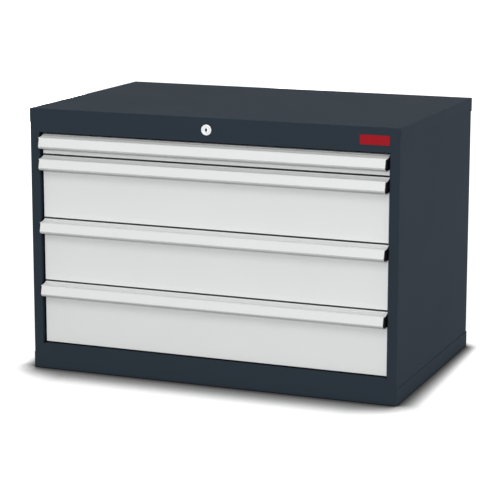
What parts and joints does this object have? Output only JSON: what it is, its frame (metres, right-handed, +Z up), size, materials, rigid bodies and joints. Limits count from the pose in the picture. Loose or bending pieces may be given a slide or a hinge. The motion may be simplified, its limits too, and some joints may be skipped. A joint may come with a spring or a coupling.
{
  "type": "drawer cabinet",
  "caption": "Low sheet-steel drawer cabinet: dark casing, light full-width drawers with handle rails on ball runners, and a central lock with a locking bar.",
  "frame": {"origin": "centre of the casing's footprint, on the floor", "axes": "+X to the right seen from the front, +Y to the back, +Z up"},
  "size_m": [0.9, 0.5941, 0.62],
  "materials": {
    "anthracite_paint": "fine-textured powder coat",
    "light_grey_paint": "fine-textured powder coat",
    "zinc_steel": "zinc plated",
    "bright_metal": "bright",
    "black_plastic": "moulded",
    "red_plate": "smooth"
  },
  "bodies": {
    "cabinet": {"top_cover": "anthracite_paint", "base_tray": "anthracite_paint", "left_side_panel": "anthracite_paint", "right_side_panel": "anthracite_paint", "rear_panel": "anthracite_paint", "rear_panel_rivets": "anthracite_paint", "front_left_column": "zinc_steel", "front_right_column": "zinc_steel", "rear_left_column": "zinc_steel", "rear_right_column": "zinc_steel", "runner_bolts": "zinc_steel", "name_plate": "red_plate", "lock_housing": "bright_metal", "lock_nut": "zinc_steel", "shaft_bracket": "zinc_steel", "bar_guides": "black_plastic", "drawer_1_outer_runners": "zinc_steel", "drawer_2_outer_runners": "zinc_steel", "drawer_3_outer_runners": "zinc_steel", "drawer_4_outer_runners": "zinc_steel"},
    "drawer_1": {"drawer_1_tray": "zinc_steel", "drawer_1_front": "light_grey_paint", "drawer_1_handle_rail": "light_grey_paint", "drawer_1_handle_end_caps": "black_plastic", "drawer_1_screws": "zinc_steel", "drawer_1_inner_runners": "zinc_steel"},
    "drawer_1_middle": {"drawer_1_middle_runners": "zinc_steel"},
    "drawer_1_outer_cages": {"drawer_1_outer_ball_cages": "bright_metal"},
    "drawer_1_inner_cages": {"drawer_1_inner_ball_cages": "bright_metal"},
    "drawer_2": {"drawer_2_tray": "zinc_steel", "drawer_2_front": "light_grey_paint", "drawer_2_handle_rail": "light_grey_paint", "drawer_2_handle_end_caps": "black_plastic", "drawer_2_screws": "zinc_steel", "drawer_2_inner_runners": "zinc_steel"},
    "drawer_2_middle": {"drawer_2_middle_runners": "zinc_steel"},
    "drawer_2_outer_cages": {"drawer_2_outer_ball_cages": "bright_metal"},
    "drawer_2_inner_cages": {"drawer_2_inner_ball_cages": "bright_metal"},
    "drawer_3": {"drawer_3_tray": "zinc_steel", "drawer_3_front": "light_grey_paint", "drawer_3_handle_rail": "light_grey_paint", "drawer_3_handle_end_caps": "black_plastic", "drawer_3_screws": "zinc_steel", "drawer_3_inner_runners": "zinc_steel"},
    "drawer_3_middle": {"drawer_3_middle_runners": "zinc_steel"},
    "drawer_3_outer_cages": {"drawer_3_outer_ball_cages": "bright_metal"},
    "drawer_3_inner_cages": {"drawer_3_inner_ball_cages": "bright_metal"},
    "drawer_4": {"drawer_4_tray": "zinc_steel", "drawer_4_front": "light_grey_paint", "drawer_4_handle_rail": "light_grey_paint", "drawer_4_handle_end_caps": "black_plastic", "drawer_4_screws": "zinc_steel", "drawer_4_inner_runners": "zinc_steel"},
    "drawer_4_middle": {"drawer_4_middle_runners": "zinc_steel"},
    "drawer_4_outer_cages": {"drawer_4_outer_ball_cages": "bright_metal"},
    "drawer_4_inner_cages": {"drawer_4_inner_ball_cages": "bright_metal"},
    "lock": {"lock_plug": "bright_metal", "lock_shaft": "zinc_steel"},
    "lock_bar": {"locking_bar": "zinc_steel"}
  },
  "joints": [
    {"name": "drawer_1_slide", "type": "slide", "parent": "cabinet", "child": "drawer_1", "axis": [0, -1, 0], "range_m": [0, 0.5]},
    {"name": "drawer_1_middle_slide", "type": "slide", "parent": "cabinet", "child": "drawer_1_middle", "axis": [0, -1, 0], "range_m": [0, 0.25]},
    {"name": "drawer_1_outer_cages_slide", "type": "slide", "parent": "cabinet", "child": "drawer_1_outer_cages", "axis": [0, -1, 0], "range_m": [0, 0.125]},
    {"name": "drawer_1_inner_cages_slide", "type": "slide", "parent": "cabinet", "child": "drawer_1_inner_cages", "axis": [0, -1, 0], "range_m": [0, 0.375]},
    {"name": "drawer_2_slide", "type": "slide", "parent": "cabinet", "child": "drawer_2", "axis": [0, -1, 0], "range_m": [0, 0.5]},
    {"name": "drawer_2_middle_slide", "type": "slide", "parent": "cabinet", "child": "drawer_2_middle", "axis": [0, -1, 0], "range_m": [0, 0.25]},
    {"name": "drawer_2_outer_cages_slide", "type": "slide", "parent": "cabinet", "child": "drawer_2_outer_cages", "axis": [0, -1, 0], "range_m": [0, 0.125]},
    {"name": "drawer_2_inner_cages_slide", "type": "slide", "parent": "cabinet", "child": "drawer_2_inner_cages", "axis": [0, -1, 0], "range_m": [0, 0.375]},
    {"name": "drawer_3_slide", "type": "slide", "parent": "cabinet", "child": "drawer_3", "axis": [0, -1, 0], "range_m": [0, 0.5]},
    {"name": "drawer_3_middle_slide", "type": "slide", "parent": "cabinet", "child": "drawer_3_middle", "axis": [0, -1, 0], "range_m": [0, 0.25]},
    {"name": "drawer_3_outer_cages_slide", "type": "slide", "parent": "cabinet", "child": "drawer_3_outer_cages", "axis": [0, -1, 0], "range_m": [0, 0.125]},
    {"name": "drawer_3_inner_cages_slide", "type": "slide", "parent": "cabinet", "child": "drawer_3_inner_cages", "axis": [0, -1, 0], "range_m": [0, 0.375]},
    {"name": "drawer_4_slide", "type": "slide", "parent": "cabinet", "child": "drawer_4", "axis": [0, -1, 0], "range_m": [0, 0.5]},
    {"name": "drawer_4_middle_slide", "type": "slide", "parent": "cabinet", "child": "drawer_4_middle", "axis": [0, -1, 0], "range_m": [0, 0.25]},
    {"name": "drawer_4_outer_cages_slide", "type": "slide", "parent": "cabinet", "child": "drawer_4_outer_cages", "axis": [0, -1, 0], "range_m": [0, 0.125]},
    {"name": "drawer_4_inner_cages_slide", "type": "slide", "parent": "cabinet", "child": "drawer_4_inner_cages", "axis": [0, -1, 0], "range_m": [0, 0.375]},
    {"name": "lock_bar_lift", "type": "slide", "parent": "cabinet", "child": "lock_bar", "axis": [0, 0, 1], "range_m": [0, 0.01697]},
    {"name": "lock_turn", "type": "hinge", "parent": "cabinet", "child": "lock", "pos_m": [-0.004, -0.2885, 0.5925], "axis": [0, 1, 0], "range_deg": [0, 90]}
  ],
  "couplings": [
    {"joint": "drawer_1_middle_slide", "follows": "drawer_1_slide", "ratio": 0.5},
    {"joint": "drawer_1_outer_cages_slide", "follows": "drawer_1_slide", "ratio": 0.25},
    {"joint": "drawer_1_inner_cages_slide", "follows": "drawer_1_slide", "ratio": 0.75},
    {"joint": "drawer_2_middle_slide", "follows": "drawer_2_slide", "ratio": 0.5},
    {"joint": "drawer_2_outer_cages_slide", "follows": "drawer_2_slide", "ratio": 0.25},
    {"joint": "drawer_2_inner_cages_slide", "follows": "drawer_2_slide", "ratio": 0.75},
    {"joint": "drawer_3_middle_slide", "follows": "drawer_3_slide", "ratio": 0.5},
    {"joint": "drawer_3_outer_cages_slide", "follows": "drawer_3_slide", "ratio": 0.25},
    {"joint": "drawer_3_inner_cages_slide", "follows": "drawer_3_slide", "ratio": 0.75},
    {"joint": "drawer_4_middle_slide", "follows": "drawer_4_slide", "ratio": 0.5},
    {"joint": "drawer_4_outer_cages_slide", "follows": "drawer_4_slide", "ratio": 0.25},
    {"joint": "drawer_4_inner_cages_slide", "follows": "drawer_4_slide", "ratio": 0.75},
    {"joint": "lock_turn", "follows": "lock_bar_lift", "rad_per_m": 92.563}
  ]
}
